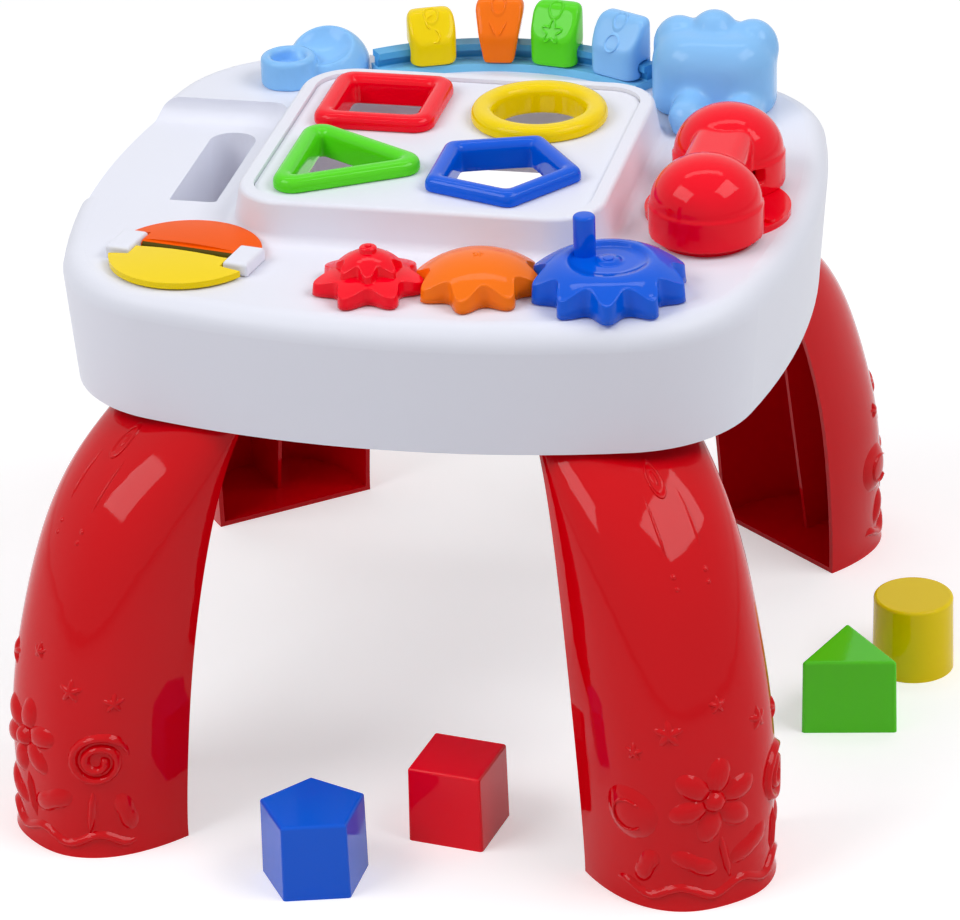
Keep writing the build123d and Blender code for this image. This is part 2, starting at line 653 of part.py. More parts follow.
# toy telephone
phone_place = Pos(PHONE_X, PHONE_Y, DECK_Z)
base = upright(Circle(PHONE_DISC_RADIUS), 0, PHONE_DISC)
for end in (-1, 1):
    base = base + Pos(0, end * CUP_SPREAD, 0) * upright(Circle(PHONE_PAD_RADIUS), 0, PHONE_PAD)
base = base + Pos(PHONE_NUB_X, PHONE_NUB_Y, 0) * upright(Circle(PHONE_NUB_RADIUS), 0, PHONE_DISC + PHONE_NUB)
nodes["phone_base"] = phone_place * base


def cup(radius, step, height, rise):
    edges = [Line((0, 0), (radius, 0)), Line((radius, 0), (radius, height))]
    if step > 0:
        edges.append(Line((radius, height), (radius - step, height)))
    edges.append(EllipticalCenterArc((0, height), radius - step, rise, arc_size=90))
    edges.append(Line((0, height + rise), (0, 0)))
    return revolve(Plane.XZ * make_face(edges), Axis.Z)


def handset():
    bar_height = BAR_TOP - BAR_BOTTOM
    bar = Pos(0, 0, BAR_BOTTOM + bar_height / 2) * Box(BAR_WIDTH, 2 * CUP_SPREAD, bar_height)
    bar = fillet(bar.edges().filter_by(Axis.Y).sort_by(Axis.Z)[-2:], BAR_ROUND)
    body = bar
    for end in (-1, 1):
        body = body + Pos(0, end * CUP_SPREAD, 0) * cup(CUP_RADIUS, CUP_STEP, CUP_HEIGHT, CUP_DOME)
    trough = BAR_WIDTH - 2 * CUP_WALL
    hollow = Pos(0, 0, BAR_BOTTOM + (bar_height - CUP_WALL) / 2) * Box(trough, 2 * CUP_SPREAD, bar_height - CUP_WALL)
    hollow = fillet(hollow.edges().filter_by(Axis.Y).sort_by(Axis.Z)[-2:], BAR_ROUND - CUP_WALL)
    inner = CUP_RADIUS - CUP_WALL - PLATE_LEDGE
    for end in (-1, 1):
        place = Pos(0, end * CUP_SPREAD, 0)
        hollow = hollow + place * cup(inner, 0, CUP_HEIGHT, CUP_DOME - CUP_WALL)
        hollow = hollow + place * upright(Circle(CUP_RADIUS - CUP_WALL), 0, PLATE_SEAT)
    window_z = PLATE_SEAT + PLATE_LEDGE
    window = upright(Rectangle(WINDOW_WIDTH, 2 * (CUP_SPREAD - WINDOW_FACE)), window_z, BAR_BOTTOM)
    return body - hollow - window


nodes["phone_handset"] = phone_place * Pos(0, 0, PHONE_DISC) * handset()
plates = []
for end in (-1, 1):
    plate = upright(Circle(CUP_RADIUS - CUP_WALL - PLATE_GAP), PLATE_SEAT - CUP_PLATE, PLATE_SEAT)
    plates.append(phone_place * Pos(0, end * CUP_SPREAD, PHONE_DISC) * plate)
nodes["handset_plates"] = plates

# slider rail, its sliders and end stops
rail_base_top = DECK_Z + RAIL_BASE
stem_top = DECK_Z + RAIL_STEM_TOP
head_top = DECK_Z + RAIL_HEAD_TOP
rail = ring_sector(RAIL_INNER, RAIL_OUTER, RAIL_START, RAIL_END, DECK_Z, rail_base_top)
half = RAIL_STEM / 2
rail = rail + ring_sector(RAIL_RADIUS - half, RAIL_RADIUS + half, RAIL_START, RAIL_END, rail_base_top, stem_top)
half = RAIL_HEAD / 2
rail = rail + ring_sector(RAIL_RADIUS - half, RAIL_RADIUS + half, RAIL_START, RAIL_END, stem_top, head_top)
nodes["slider_rail"] = rail

slot_start = 2 * RAIL_START
slot_end = 2 * RAIL_END
half = RAIL_STEM / 2 + SLIDER_GAP
slot = ring_sector(RAIL_RADIUS - half, RAIL_RADIUS + half, slot_start, slot_end, DECK_Z, head_top)
half = RAIL_HEAD / 2 + SLIDER_GAP
head_low = stem_top - SLIDER_GAP
slot = slot + ring_sector(RAIL_RADIUS - half, RAIL_RADIUS + half, slot_start, slot_end, head_low, head_top + SLIDER_GAP)


def soft_top(outline, base_z):
    face = make_face(Polyline(outline, close=True))
    return fillet([corner for corner in face.vertices() if corner.Y > base_z + SLIDER_ROUND], SLIDER_ROUND)


def slider(bearing, width, foot, tall):
    base_z = rail_base_top + SLIDER_LIFT
    top_z = DECK_Z + tall
    knee_z = base_z + (top_z - base_z) * SLIDER_KNEE_SHARE
    depth = SLIDER_FRONT + SLIDER_BACK
    side_view = [(SLIDER_BACK, base_z), (SLIDER_BACK, top_z), (-SLIDER_CREST, top_z)]
    side_view = side_view + [(-SLIDER_FRONT, knee_z), (-SLIDER_FRONT, base_z)]
    side_face = soft_top(side_view, base_z)
    body = extrude(Plane.YZ * side_face, amount=width / 2, both=True)
    front_view = [(-foot / 2, base_z), (foot / 2, base_z), (width / 2, top_z), (-width / 2, top_z)]
    body = body & extrude(Plane.XZ * soft_top(front_view, base_z), amount=depth, both=True)
    plan = RectangleRounded(width, depth, SLIDER_CORNER)
    body = body & Pos(0, (SLIDER_BACK - SLIDER_FRONT) / 2, 0) * upright(plan, base_z, top_z)
    return Pos(RAIL_X, RAIL_Y, 0) * Rot(0, 0, -bearing) * Pos(0, RAIL_RADIUS, 0) * body - slot


nodes["slider_yellow"] = slider(YELLOW_BEARING, YELLOW_WIDTH, YELLOW_WIDTH, YELLOW_TALL)
nodes["slider_orange"] = slider(ORANGE_SLIDER_BEARING, ORANGE_WIDTH, ORANGE_FOOT, ORANGE_TALL)
nodes["slider_green"] = slider(GREEN_BEARING, GREEN_WIDTH, GREEN_WIDTH, GREEN_TALL)
nodes["slider_light_blue"] = slider(SKY_BEARING, SKY_WIDTH, SKY_WIDTH, SKY_TALL)


def capsule(radius, length):
    edges = [Line((0, -radius), (0, length + radius)), CenterArc((0, 0), radius, -90, 90)]
    edges.append(Line((radius, 0), (radius, length)))
    edges.append(CenterArc((0, length), radius, 0, 90))
    return revolve(make_face(edges), Axis.Y)


scoop = Pos(SCOOP_STOP_X, SCOOP_STOP_Y, DECK_Z) * dome(SCOOP_STOP_RADIUS, SCOOP_STOP_HEIGHT, SCOOP_RIM_SHARE)
lobe = upright(Circle(SCOOP_LOBE_RADIUS), 0, SCOOP_LOBE_HEIGHT)
lobe = lobe - upright(Circle(SCOOP_LOBE_BORE), SCOOP_LOBE_HEIGHT - SCOOP_LOBE_DEEP, SCOOP_LOBE_HEIGHT)
lobe = fillet(lobe.faces().sort_by(Axis.Z)[-1].edges(), SCOOP_LOBE_ROUND)
dish_place = Pos(SCOOP_STOP_X, SCOOP_STOP_Y - SCOOP_DISH_FORWARD, DECK_Z + SCOOP_DISH_LIFT)
scoop = scoop - dish_place * Sphere(SCOOP_DISH_RADIUS)
scoop = scoop + Pos(SCOOP_LOBE_X, SCOOP_LOBE_Y, DECK_Z) * lobe
nodes["scoop_end_stop"] = scoop

animal = upright(RectangleRounded(ANIMAL_WIDTH, ANIMAL_DEPTH, ANIMAL_CORNER), 0, ANIMAL_HEIGHT)
animal = fillet(animal.faces().sort_by(Axis.Z)[-1].edges(), ANIMAL_ROUND)
animal = Pos(ANIMAL_X, ANIMAL_Y, DECK_Z) * animal
for ear_x, ear_lift in zip(EAR_XS, EAR_LIFTS):
    animal = animal + Pos(ear_x, EAR_Y, DECK_Z + ear_lift) * Sphere(EAR_RADIUS)
for paw_x, paw_y, paw_lift in zip(PAW_XS, PAW_YS, PAW_LIFTS):
    animal = animal + Pos(paw_x, paw_y, DECK_Z + paw_lift) * capsule(PAW_RADIUS, PAW_LENGTH)
under = Pos(ANIMAL_X, ANIMAL_Y, DECK_Z - STOP_REACH / 2) * Box(STOP_REACH, STOP_REACH, STOP_REACH)
skirting = TOWER_FLARE + 2 * (TOWER_COVE + STOP_GAP)
cove = RectangleRounded(TOWER_WIDTH + skirting, TOWER_DEPTH + skirting, TOWER_CORNER + skirting / 2)
nodes["animal_end_stop"] = animal - under - tower_place * upright(cove, DECK_Z, DECK_Z + TOWER_COVE)
nodes["tabletop_shell"] = shell


# sorter blocks standing on the floor
def block_body(plan, core):
    body = extrude(plan, amount=BLOCK_HEIGHT, taper=BLOCK_DRAFT)
    body = fillet(body.faces().sort_by(Axis.Z)[-1].edges(), BLOCK_ROUND)
    return body - extrude(core, amount=BLOCK_HEIGHT - BLOCK_WALL, taper=BLOCK_DRAFT)


def regular_block(count, radius, turn):
    inner = radius - BLOCK_WALL / math.cos(math.pi / count)
    plan = fillet(RegularPolygon(radius, count, rotation=turn).vertices(), BLOCK_ROUND)
    return block_body(plan, RegularPolygon(inner, count, rotation=turn))


cube = block_body(
    RectangleRounded(CUBE_SIDE, CUBE_SIDE, BLOCK_ROUND),
    Rectangle(CUBE_SIDE - 2 * BLOCK_WALL, CUBE_SIDE - 2 * BLOCK_WALL),
)
nodes["block_cube"] = Pos(CUBE_X, CUBE_Y, 0) * Rot(0, 0, CUBE_TURN) * cube
pentagon = regular_block(5, PENTAGON_RADIUS, 90)
nodes["block_pentagon"] = Pos(PENTAGON_BLOCK_X, PENTAGON_BLOCK_Y, 0) * Rot(0, 0, PENTAGON_BLOCK_TURN) * pentagon
triangle = regular_block(3, TRIANGLE_RADIUS, 90)
nodes["block_triangle"] = Pos(TRIANGLE_BLOCK_X, TRIANGLE_BLOCK_Y, 0) * Rot(0, 0, TRIANGLE_BLOCK_TURN) * triangle
cylinder = block_body(Circle(CYLINDER_RADIUS), Circle(CYLINDER_RADIUS - BLOCK_WALL))
nodes["block_cylinder"] = Pos(CYLINDER_X, CYLINDER_Y, 0) * cylinder

# shared frame: origin on the floor under the middle of everything
groups = {name: shape if isinstance(shape, list) else [shape] for name, shape in nodes.items()}
boxes = [piece.bounding_box() for group in groups.values() for piece in group]
middle_x = (min(box.min.X for box in boxes) + max(box.max.X for box in boxes)) / 2
middle_y = (min(box.min.Y for box in boxes) + max(box.max.Y for box in boxes)) / 2
shift = Pos(-middle_x, -middle_y, 0)
os.makedirs("parts", exist_ok=True)
for name, group in groups.items():
    moved = [shift * piece for piece in group]
    whole = moved[0] if len(moved) == 1 else Compound(children=moved)
    export_step(whole, "parts/" + name + ".step")
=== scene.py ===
import json
import math

import bmesh
import bpy
from mathutils import Matrix, Vector
from mathutils.bvhtree import BVHTree


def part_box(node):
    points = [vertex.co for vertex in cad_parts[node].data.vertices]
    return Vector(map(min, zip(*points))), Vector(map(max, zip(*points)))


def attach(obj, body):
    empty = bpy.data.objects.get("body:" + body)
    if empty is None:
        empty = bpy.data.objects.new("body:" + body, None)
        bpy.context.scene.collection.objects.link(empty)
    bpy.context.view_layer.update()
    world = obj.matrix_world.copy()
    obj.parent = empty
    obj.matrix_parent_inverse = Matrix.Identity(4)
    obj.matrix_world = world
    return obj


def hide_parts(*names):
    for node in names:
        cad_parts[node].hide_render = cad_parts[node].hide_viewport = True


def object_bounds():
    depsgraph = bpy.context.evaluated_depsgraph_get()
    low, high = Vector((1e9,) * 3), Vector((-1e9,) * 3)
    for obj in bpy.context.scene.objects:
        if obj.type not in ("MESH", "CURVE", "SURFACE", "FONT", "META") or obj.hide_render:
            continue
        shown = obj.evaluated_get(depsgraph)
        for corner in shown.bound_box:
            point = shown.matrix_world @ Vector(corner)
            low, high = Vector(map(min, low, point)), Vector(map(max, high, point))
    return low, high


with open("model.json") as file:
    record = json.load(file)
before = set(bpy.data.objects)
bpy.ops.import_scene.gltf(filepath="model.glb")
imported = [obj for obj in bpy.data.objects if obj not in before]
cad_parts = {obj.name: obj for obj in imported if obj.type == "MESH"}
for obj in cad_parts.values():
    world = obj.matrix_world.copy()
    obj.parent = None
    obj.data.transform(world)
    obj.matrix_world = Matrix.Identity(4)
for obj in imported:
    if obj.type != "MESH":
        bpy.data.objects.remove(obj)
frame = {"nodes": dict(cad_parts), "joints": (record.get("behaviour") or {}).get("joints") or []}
cad_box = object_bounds()
nodes = frame["nodes"]
scene = bpy.context.scene

MM = 0.001
UP = Vector((0, 0, 1))

# the photograph's frame and the camera that took it; angles in degrees, places in metres
PHOTO_WIDTH = 960
FOCAL_PIXELS = 4895.0
SENSOR = 36.0
CAMERA_BEARING = 13.356
CAMERA_RISE = 26.661
CAMERA_ROLL = -1.942
CAMERA_DISTANCE = 2.9092
CAMERA_TARGET = (-0.02529, 0.02358, 0.13516)
CAMERA_REACH = 50.0

# where the table, its legs and its rail stand in the frame, in metres and degrees
TABLE_X = -0.033388
TABLE_Y = 0.012999
LEG_X = 0.1565
LEG_Y = 0.1864
LEG_TURN = 50.8
LEG_SIDES = {
    "front_left": (-1, -1),
    "front_right": (1, -1),
    "back_left": (-1, 1),
    "back_right": (1, 1),
}
RAIL_X = 0.005
RAIL_Y = 0.036

# finish values: how strongly plastic mirrors, and the scales of its mottle, smears and orange peel
SHINE = 0.17
MOTTLE_SCALE = 9.0
MOTTLE_DETAIL = 3.0
SMEAR_SCALE = 34.0
SMEAR_DETAIL = 4.0
PEEL_SCALE = 260.0
PEEL_DETAIL = 2.0
PEEL_STRENGTH = 0.05
PEEL_DEPTH = 0.0006
GLOSS_CHANGE = 0.08


def paint(red, green, blue):
    """A colour as read off a screen, 0 to 255, as the linear colour a shader takes."""
    def linear(value):
        share = value / 255
        return share / 12.92 if share <= 0.04045 else ((share + 0.055) / 1.055) ** 2.4
    return (linear(red), linear(green), linear(blue), 1.0)


# shared effect: the slight mottle, gloss change and orange peel of moulded plastic
def moulding_group():
    tree = bpy.data.node_groups.new("moulded_plastic", "ShaderNodeTree")
    for name in ("Base", "Deep"):
        tree.interface.new_socket(name, in_out="INPUT", socket_type="NodeSocketColor")
    for name in ("Gloss", "Gloss Change", "Peel Scale"):
        tree.interface.new_socket(name, in_out="INPUT", socket_type="NodeSocketFloat")
    tree.interface.new_socket("Color", in_out="OUTPUT", socket_type="NodeSocketColor")
    tree.interface.new_socket("Roughness", in_out="OUTPUT", socket_type="NodeSocketFloat")
    tree.interface.new_socket("Height", in_out="OUTPUT", socket_type="NodeSocketFloat")
    made, link = tree.nodes, tree.links.new
    inside = made.new("NodeGroupInput")
    outside = made.new("NodeGroupOutput")
    place = made.new("ShaderNodeTexCoord")
    cloud = made.new("ShaderNodeTexNoise")
    cloud.inputs["Scale"].default_value = MOTTLE_SCALE
    cloud.inputs["Detail"].default_value = MOTTLE_DETAIL
    link(place.outputs["Object"], cloud.inputs["Vector"])
    mottle = made.new("ShaderNodeMix")
    mottle.data_type = "RGBA"
    link(cloud.outputs["Fac"], mottle.inputs["Factor"])
    link(inside.outputs["Base"], mottle.inputs["A"])
    link(inside.outputs["Deep"], mottle.inputs["B"])
    link(mottle.outputs["Result"], outside.inputs["Color"])
    smear = made.new("ShaderNodeTexNoise")
    smear.inputs["Scale"].default_value = SMEAR_SCALE
    smear.inputs["Detail"].default_value = SMEAR_DETAIL
    link(place.outputs["Object"], smear.inputs["Vector"])
    change = made.new("ShaderNodeMath")
    change.operation = "MULTIPLY_ADD"
    link(smear.outputs["Fac"], change.inputs[0])
    link(inside.outputs["Gloss Change"], change.inputs[1])
    link(inside.outputs["Gloss"], change.inputs[2])
    link(change.outputs["Value"], outside.inputs["Roughness"])
    peel = made.new("ShaderNodeTexNoise")
    peel.inputs["Detail"].default_value = PEEL_DETAIL
    link(place.outputs["Object"], peel.inputs["Vector"])
    link(inside.outputs["Peel Scale"], peel.inputs["Scale"])
    link(peel.outputs["Fac"], outside.inputs["Height"])
    return tree


MOULDING = moulding_group()


def moulded(name, base, deep, gloss, gloss_change=GLOSS_CHANGE, peel=PEEL_STRENGTH,
            peel_scale=PEEL_SCALE, shine=SHINE):
    """Moulded plastic: two close shades, an uneven gloss and a faint orange peel."""
    material = bpy.data.materials.new(name)
    material.use_nodes = True
    made, link = material.node_tree.nodes, material.node_tree.links.new
    shader = made["Principled BSDF"]
    effect = made.new("ShaderNodeGroup")
    effect.node_tree = MOULDING
    effect.inputs["Base"].default_value = paint(*base)
    effect.inputs["Deep"].default_value = paint(*deep)
    effect.inputs["Gloss"].default_value = gloss
    effect.inputs["Gloss Change"].default_value = gloss_change
    effect.inputs["Peel Scale"].default_value = peel_scale
    bump = made.new("ShaderNodeBump")
    bump.inputs["Strength"].default_value = peel
    bump.inputs["Distance"].default_value = PEEL_DEPTH
    link(effect.outputs["Color"], shader.inputs["Base Color"])
    link(effect.outputs["Roughness"], shader.inputs["Roughness"])
    link(effect.outputs["Height"], bump.inputs["Height"])
    link(bump.outputs["Normal"], shader.inputs["Normal"])
    shader.inputs["Specular IOR Level"].default_value = shine
    return material


# the rail's painted light and shade from its foot up: a painted bright foot strip, a painted dark groove
# and the head's mid blue, each with the share of the rail's height where it stands
RAIL_FOOT_PAINTED_LIGHT = (0.36, (140, 214, 252))
RAIL_GROOVE_PAINTED_SHADE = (0.42, (20, 116, 182))
RAIL_HEAD = (0.72, (88, 172, 228))
# how strongly this painted light and shade covers the plastic's own blue
RAIL_PAINTED_SHADING_STRENGTH = 0.75


def rail_with_painted_shading():
    """The rail's plastic with painted light and shade by height: a painted bright foot strip, a painted
    dark groove and a mid blue head.
    """
    material = moulded("rail_blue", base=(70, 158, 212), deep=(60, 150, 206), gloss=0.25)
    made, link = material.node_tree.nodes, material.node_tree.links.new
    shader = made["Principled BSDF"]
    effect = next(node for node in made if node.type == "GROUP")
    place = made.new("ShaderNodeTexCoord")
    parts = made.new("ShaderNodeSeparateXYZ")
    link(place.outputs["Object"], parts.inputs["Vector"])
    low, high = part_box("slider_rail")
    height = made.new("ShaderNodeMapRange")
    height.inputs["From Min"].default_value = low.z
    height.inputs["From Max"].default_value = high.z
    link(parts.outputs["Z"], height.inputs["Value"])
    ramp = made.new("ShaderNodeValToRGB")
    # painted light and shade by height: the foot stop is painted brighter than the plastic, the groove stop
    # painted darker
    foot, groove = ramp.color_ramp.elements
    foot.position, foot.color = RAIL_FOOT_PAINTED_LIGHT[0], paint(*RAIL_FOOT_PAINTED_LIGHT[1])
    groove.position, groove.color = RAIL_GROOVE_PAINTED_SHADE[0], paint(*RAIL_GROOVE_PAINTED_SHADE[1])
    head = ramp.color_ramp.elements.new(RAIL_HEAD[0])
    head.color = paint(*RAIL_HEAD[1])
    link(height.outputs["Result"], ramp.inputs["Fac"])
    mix = made.new("ShaderNodeMix")
    mix.data_type = "RGBA"
    mix.inputs["Factor"].default_value = RAIL_PAINTED_SHADING_STRENGTH
    link(effect.outputs["Color"], mix.inputs["A"])
    link(ramp.outputs["Color"], mix.inputs["B"])
    link(mix.outputs["Result"], shader.inputs["Base Color"])
    return material


STEEL_GRAIN = 400.0
STEEL_DARK = (150, 152, 156)
STEEL_BRIGHT = (205, 206, 208)
STEEL_ROUGHNESS = 0.3


def steel():
    """Bright steel with a fine uneven grain, for screws and hinge pins."""
    material = bpy.data.materials.new("bright_steel")
    material.use_nodes = True
    made, link = material.node_tree.nodes, material.node_tree.links.new
    shader = made["Principled BSDF"]
    place = made.new("ShaderNodeTexCoord")
    brush = made.new("ShaderNodeTexNoise")
    brush.inputs["Scale"].default_value = STEEL_GRAIN
    link(place.outputs["Object"], brush.inputs["Vector"])
    ramp = made.new("ShaderNodeValToRGB")
    dark, bright = ramp.color_ramp.elements
    dark.color = paint(*STEEL_DARK)
    bright.color = paint(*STEEL_BRIGHT)
    link(brush.outputs["Fac"], ramp.inputs["Fac"])
    link(ramp.outputs["Color"], shader.inputs["Base Color"])
    shader.inputs["Metallic"].default_value = 1.0
    shader.inputs["Roughness"].default_value = STEEL_ROUGHNESS
    return material


SHELL_WHITE = moulded("shell_white", base=(233, 235, 246), deep=(228, 230, 242), gloss=0.34)
LEG_RED = moulded("leg_red", base=(217, 0, 15), deep=(210, 0, 12), gloss=0.03, gloss_change=0.04,
                  peel=0.1, peel_scale=60.0)
TOY_RED = moulded("toy_red", base=(250, 0, 34), deep=(245, 0, 30), gloss=0.03, gloss_change=0.03)
TOY_YELLOW = moulded("toy_yellow", base=(246, 216, 0), deep=(242, 210, 0), gloss=0.04, gloss_change=0.04,
                     shine=0.14)
TOY_ORANGE = moulded("toy_orange", base=(252, 122, 20), deep=(248, 116, 16), gloss=0.05, gloss_change=0.04,
                     shine=0.12)
PAGE_ORANGE = moulded("page_orange", base=(244, 94, 4), deep=(240, 88, 2), gloss=0.25, shine=0.04)
TOY_GREEN = moulded("toy_green", base=(94, 224, 32), deep=(86, 216, 26), gloss=0.04, gloss_change=0.04,
                    shine=0.2)
TOY_BLUE = moulded("toy_blue", base=(0, 94, 226), deep=(0, 88, 217), gloss=0.04, gloss_change=0.04,
                   shine=0.2)
SKY_BLUE = moulded("sky_blue", base=(140, 198, 250), deep=(134, 192, 247), gloss=0.07)
# painted shade: a dark olive standing in for yellow plastic deep in shadow
OLIVE_PAINTED_SHADE = moulded("gap_painted_shadow", base=(86, 74, 8), deep=(78, 66, 6), gloss=0.4, shine=0.07)
RAIL_BLUE = rail_with_painted_shading()
STEEL = steel()

FINISHES = {
    "tabletop_shell": SHELL_WHITE,
    "sorter_lid": SHELL_WHITE,
    "page_bracket_left": SHELL_WHITE,
    "page_bracket_right": SHELL_WHITE,
    "gear_axles": SHELL_WHITE,
    "leg_front_left": LEG_RED,
    "leg_front_right": LEG_RED,
    "leg_back_left": LEG_RED,
    "leg_back_right": LEG_RED,
    "leg_screws": STEEL,
    "page_hinge_pins": STEEL,
    "collar_square": TOY_RED,
    "collar_round": TOY_YELLOW,
    "collar_triangle": TOY_GREEN,
    "collar_pentagon": TOY_BLUE,
    "gear_small_red": TOY_RED,
    "gear_medium_orange": TOY_ORANGE,
    "gear_large_blue": TOY_BLUE,
    "page_orange": PAGE_ORANGE,
    "page_yellow": TOY_YELLOW,
    "phone_base": TOY_RED,
    "phone_handset": TOY_RED,
    "handset_plates": TOY_RED,
    "slider_rail": RAIL_BLUE,
    "slider_yellow": TOY_YELLOW,
    "slider_orange": TOY_ORANGE,
    "slider_green": TOY_GREEN,
    "slider_light_blue": SKY_BLUE,
    "scoop_end_stop": SKY_BLUE,
    "animal_end_stop": SKY_BLUE,
    "block_cube": TOY_RED,
    "block_triangle": TOY_GREEN,
    "block_pentagon": TOY_BLUE,
    "block_cylinder": TOY_YELLOW,
}
for name, finish in FINISHES.items():
    nodes[name].data.materials.clear()
    nodes[name].data.materials.append(finish)

# pieces with soft edges: the grain of the skin in millimetres and the passes that smooth it
SOFTNESS = {
    "scoop_end_stop": (1.0, 10),
    "slider_yellow": (0.9, 60),
    "slider_orange": (0.9, 60),
    "slider_green": (0.9, 60),
    "slider_light_blue": (0.9, 60),
    "phone_handset": (1.0, 4),
    "page_bracket_left": (0.6, 8),
    "page_bracket_right": (0.6, 8),
    "collar_square": (0.9, 14),
    "collar_round": (0.9, 14),
    "collar_triangle": (0.9, 14),
    "collar_pentagon": (0.9, 14),
}
SMOOTH_FACTOR = 0.5


def soften(piece, voxel, passes):
    """Rounds a moulded piece's edges and runs its lumps into one another."""
    skin = piece.modifiers.new("skin", "REMESH")
    skin.mode = "VOXEL"
    skin.voxel_size = voxel * MM
    skin.use_smooth_shade = True
    flow = piece.modifiers.new("flow", "SMOOTH")
    flow.factor = SMOOTH_FACTOR
    flow.iterations = passes


for name, (voxel, passes) in SOFTNESS.items():
    soften(nodes[name], voxel, passes)


def add_piece(name, shape, finish, body):
    """Turns a built shape into an object that moves with a body."""
    for face in shape.faces:
        face.smooth = True
    mesh = bpy.data.meshes.new(name)
    shape.to_mesh(mesh)
    shape.free()
    mesh.materials.append(finish)
    piece = bpy.data.objects.new(name, mesh)
    scene.collection.objects.link(piece)
    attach(piece, body)
    return piece


def joint_named(name):
    return next(joint for joint in frame["joints"] if joint["name"] == name)


def around(count):
    """Evenly spread bearings of a full turn, in radians."""
    return [2 * math.pi * k / count for k in range(count)]


# the gears' soft mouldings, in millimetres: a dome cut into rounded teeth with leaning walls
GEAR_EASE = 1.2
GEAR_FOOT = 0.4
GEAR_DRAFT = 0.8
GEAR_TOOTH_STEPS = 18
GEAR_TOP_STEPS = 7
GEAR_BROW_STEPS = 4
TOOTH_FULLNESS = 1.15
TOOTH_WEIGHT = 8

RED_TEETH = 7
RED_ROOT = 22.5
RED_TIP = 31.4
RED_RINGS = (6, 12, 17, 20)
RED_TOP = 14
RED_FALL = 7.5
RED_CURVE = 1.7
RED_CROWN_ROOT = 13.5
RED_CROWN_TIP = 18.6
RED_CROWN_RINGS = (4, 8, 11)
RED_CROWN_TOP = 23
RED_CROWN_FALL = 9.5
RED_CROWN_CURVE = 2.0
RED_CROWN_FOOT = 7
RED_KNOB = {"radius": 5.0, "top": 25.4, "foot": 20, "ease": 1.6}
RED_PIP = {"radius": 2.0, "top": 26.4, "foot": 24, "ease": 0.7}

ORANGE_TEETH = 8
ORANGE_ROOT = 26.6
ORANGE_TIP = 35.4
ORANGE_RINGS = (4, 9, 14, 19, 23)
ORANGE_TOP = 20
ORANGE_FALL = 13.5
ORANGE_CURVE = 2.3

BLUE_TEETH = 10
BLUE_ROOT = 34.4
BLUE_TIP = 43.4
BLUE_TOP = 20.0
BLUE_HUB = 6.5
BLUE_DISH = 21.5
BLUE_DISH_DEPTH = 1.3
BLUE_SHOULDER = 25.0
BLUE_RIM = 43.6
BLUE_FALL = 10.0
BLUE_CURVE = 1.5
BLUE_RINGS = (3, 6.2, 6.8, 10, 15, 21.2, 21.8, 25, 28, 31)
BLUE_PEG_FROM = 30
BLUE_PEG = {"radius": 6.2, "top": 42.0, "foot": 12.0, "ease": 1.8}
BLUE_PIP = {"radius": 3.0, "top": 20.7, "foot": 18.0, "ease": 0.6}


def gear_axis(node, joint):
    """The spot where the gear's axis meets its underside."""
    place = joint_named(joint)["pos_m"]
    return Vector((place[0], place[1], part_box(node)[0].z))


def tooth_phase(node, axis, teeth):
    """The bearing of a tooth, read from the CAD gear: its outermost points weigh most."""
    real, turned_part = 0.0, 0.0
    for vertex in nodes[node].data.vertices:
        x, y = vertex.co.x - axis.x, vertex.co.y - axis.y
        weight = math.hypot(x, y) ** TOOTH_WEIGHT
        angle = teeth * math.atan2(y, x)
        real += weight * math.cos(angle)
        turned_part += weight * math.sin(angle)
    return math.atan2(turned_part, real) / teeth


def gear_form(shape, axis, phase, teeth, root, tip, radii, dome, foot=GEAR_FOOT):
    """A toothed dome: radii are the plain rings inside the teeth, dome gives the height at a radius."""
    angles = around(teeth * GEAR_TOOTH_STEPS)

    def edge(angle):
        return root + (tip - root) * (0.5 + 0.5 * math.cos(teeth * (angle - phase))) ** TOOTH_FULLNESS

    def ring(place):
        row = []
        for angle in angles:
            radius, height = place(edge(angle))
            spot = Vector((radius * math.cos(angle), radius * math.sin(angle), height))
            row.append(shape.verts.new(axis + spot * MM))
        return row

    def top(share):
        def place(rim):
            radius = radii[-1] + (rim - GEAR_EASE - radii[-1]) * share
            return radius, dome(radius)
        return place

    def brow(turn):
        def place(rim):
            radius = rim - GEAR_EASE * (1 - math.sin(turn))
            return radius, dome(rim - GEAR_EASE) - GEAR_EASE * (1 - math.cos(turn))
        return place

    rows = [ring(lambda rim, r=r: (r, dome(r))) for r in radii]
    rows += [ring(top(k / GEAR_TOP_STEPS)) for k in range(1, GEAR_TOP_STEPS + 1)]
    rows += [ring(brow(k * math.pi / 2 / GEAR_BROW_STEPS)) for k in range(1, GEAR_BROW_STEPS + 1)]
    rows.append(ring(lambda rim: (rim + GEAR_DRAFT / 2, (dome(rim) - GEAR_EASE + foot) / 2)))
    rows.append(ring(lambda rim: (rim + GEAR_DRAFT, foot)))
    crown = shape.verts.new(axis + UP * (dome(0) * MM))
    sole = shape.verts.new(axis + UP * (foot * MM))
    for i in range(len(angles)):
        j = (i + 1) % len(angles)
        shape.faces.new((crown, rows[0][i], rows[0][j]))
        shape.faces.new((sole, rows[-1][j], rows[-1][i]))
        for inner, outer in zip(rows, rows[1:]):
            shape.faces.new((inner[i], outer[i], outer[j], inner[j]))


